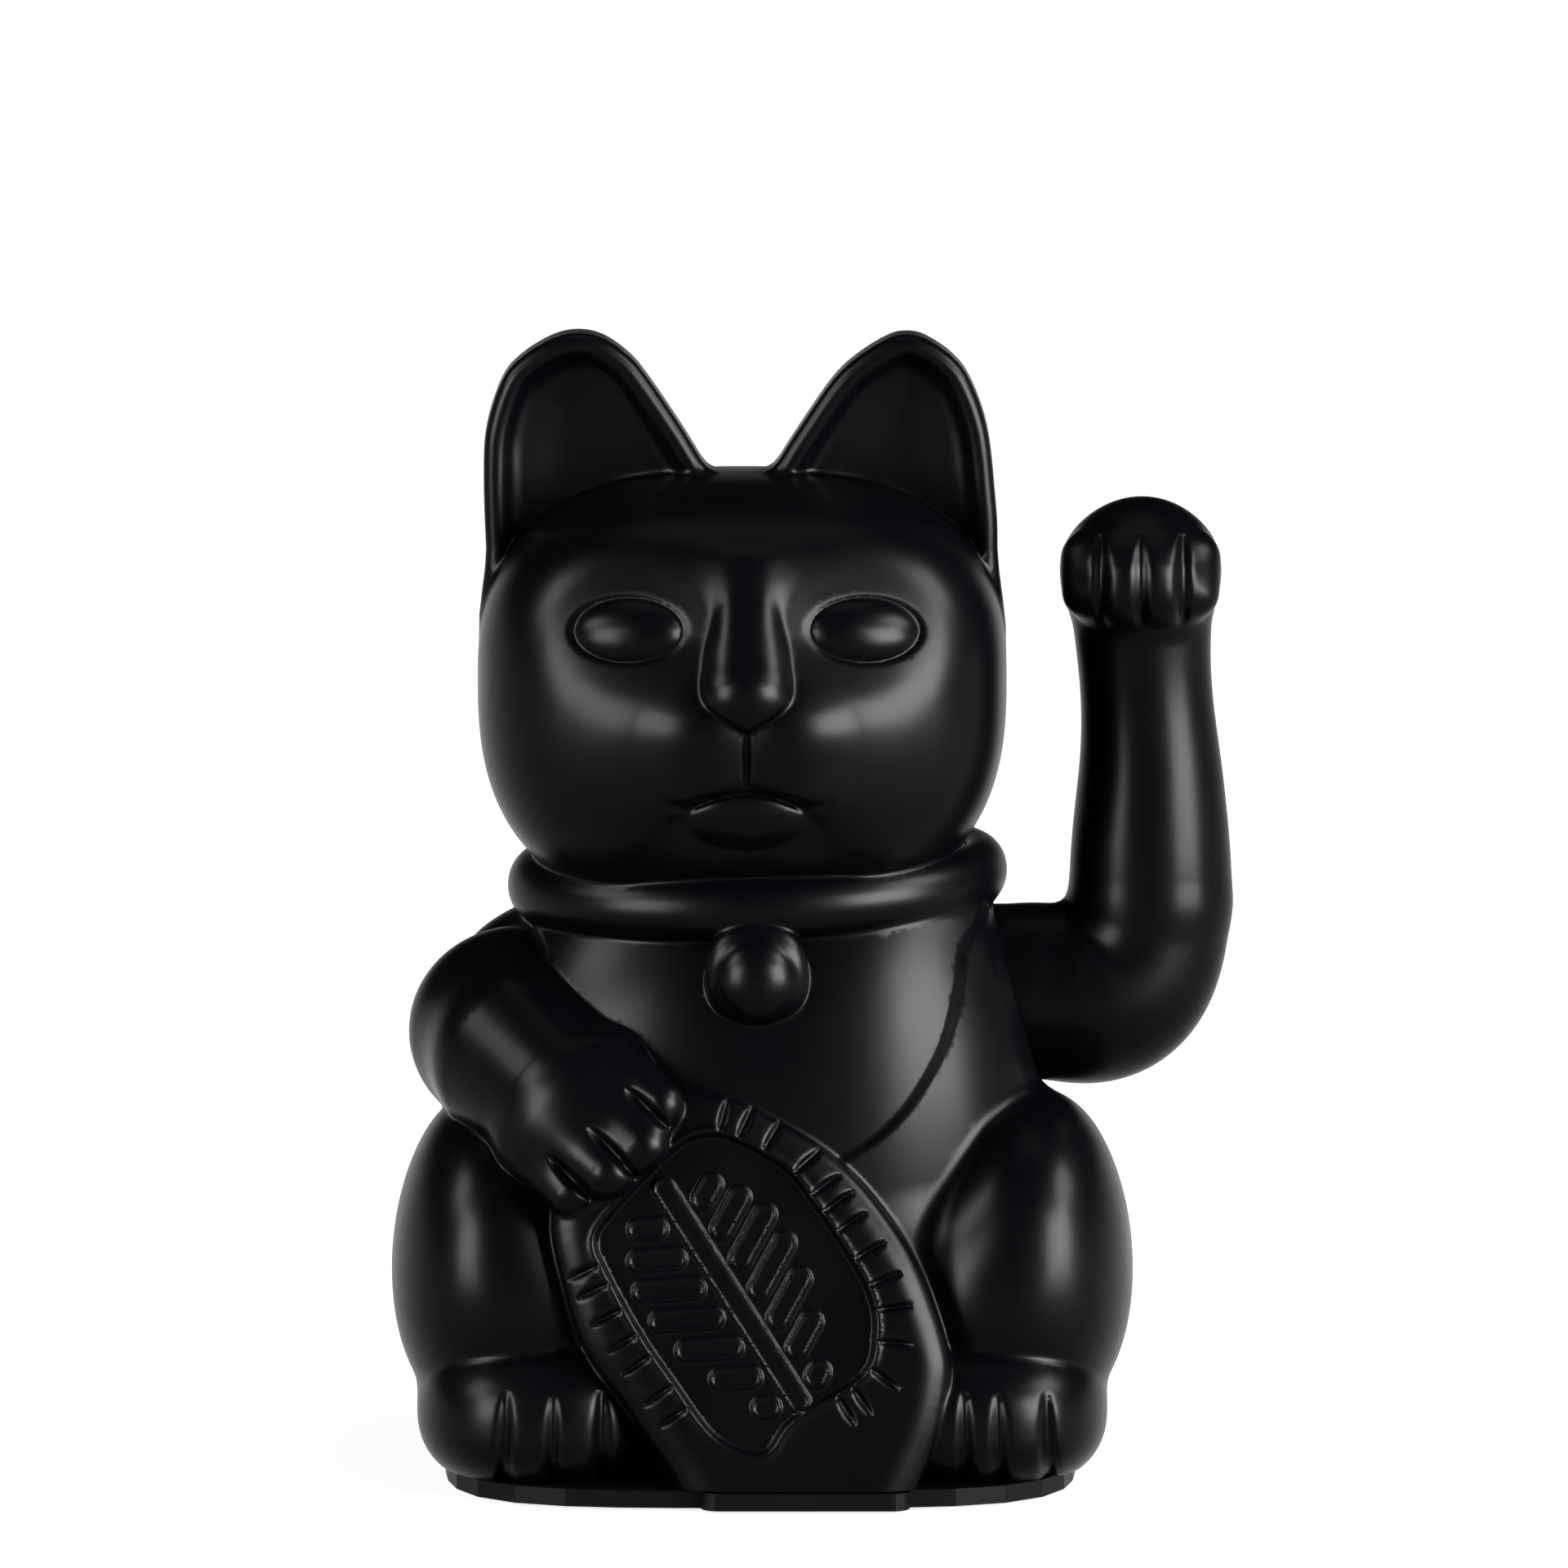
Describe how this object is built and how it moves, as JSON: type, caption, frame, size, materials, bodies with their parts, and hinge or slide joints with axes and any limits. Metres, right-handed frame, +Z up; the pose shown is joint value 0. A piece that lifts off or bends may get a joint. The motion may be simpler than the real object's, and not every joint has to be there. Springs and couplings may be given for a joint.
{
  "type": "beckoning cat figurine",
  "caption": "Seated beckoning cat figurine with a coin, collar and bell, and a battery-driven raised arm that swings on a weighted pendulum.",
  "frame": {"origin": "on the underside of the base plate, below the middle of the body", "axes": "+Z up, the cat faces -Y, its raised arm is on the +X side and turns about a line along X"},
  "size_m": [0.1105, 0.0845, 0.1498],
  "materials": {
    "satin_black": "satin lacquered plastic, soft highlights",
    "base_black": "fine moulded texture",
    "mechanism_plastic": "plain moulded",
    "steel": "zinc plated",
    "spring_steel": "nickel plated",
    "brass": "turned",
    "copper": "enamelled copper wire",
    "board_green": "solder mask on glass fibre board",
    "magnet_nickel": "nickel plated magnet",
    "cell_sleeve": "printed film sleeve, no lettering",
    "component_black": "moulded epoxy",
    "capacitor_blue": "shrink sleeve",
    "resistor_tan": "lacquered, colour bands",
    "wire_red": "PVC insulation",
    "wire_black": "PVC insulation"
  },
  "bodies": {
    "figurine": {"front_shell": "satin_black", "rear_shell": "satin_black", "base_plate": "base_black", "base_screw_front_left": "steel", "base_screw_front_right": "steel", "base_screw_rear_left": "steel", "base_screw_rear_right": "steel", "battery_cell": "cell_sleeve", "battery_minus_contact": "spring_steel", "battery_plus_contact": "spring_steel", "switch_body": "steel", "axle_bracket": "mechanism_plastic", "bracket_screw_1": "steel", "bracket_screw_2": "steel", "inner_axle_bush": "brass", "outer_axle_bush": "brass", "circuit_board": "board_green", "board_screw_1": "steel", "board_screw_2": "steel", "coil_bobbin": "component_black", "coil_winding": "copper", "transistor": "component_black", "capacitor": "capacitor_blue", "resistor": "resistor_tan", "battery_plus_wire": "wire_red", "switch_wire": "wire_red", "battery_minus_wire": "wire_black"},
    "swinging_arm": {"arm_front_shell": "satin_black", "arm_rear_shell": "satin_black", "arm_hub": "mechanism_plastic", "pivot_axle": "steel", "axle_clip": "spring_steel", "pendulum_lever": "mechanism_plastic", "drive_magnet": "magnet_nickel", "counterweight_left": "steel", "counterweight_right": "steel"},
    "switch_knob": {"switch_slider": "component_black"},
    "door": {"battery_door": "base_black"}
  },
  "joints": [
    {"name": "arm_swing", "type": "hinge", "parent": "figurine", "child": "swinging_arm", "pos_m": [0, 0.004, 0.0615], "axis": [1, 0, 0], "range_deg": [-25, 25]},
    {"name": "switch_slide", "type": "slide", "parent": "figurine", "child": "switch_knob", "axis": [1, 0, 0], "range_m": [0, 0.002]},
    {"name": "battery_door_lift", "type": "slide", "parent": "figurine", "child": "door", "axis": [0, 0, -1], "range_m": [0, 0.012]}
  ]
}
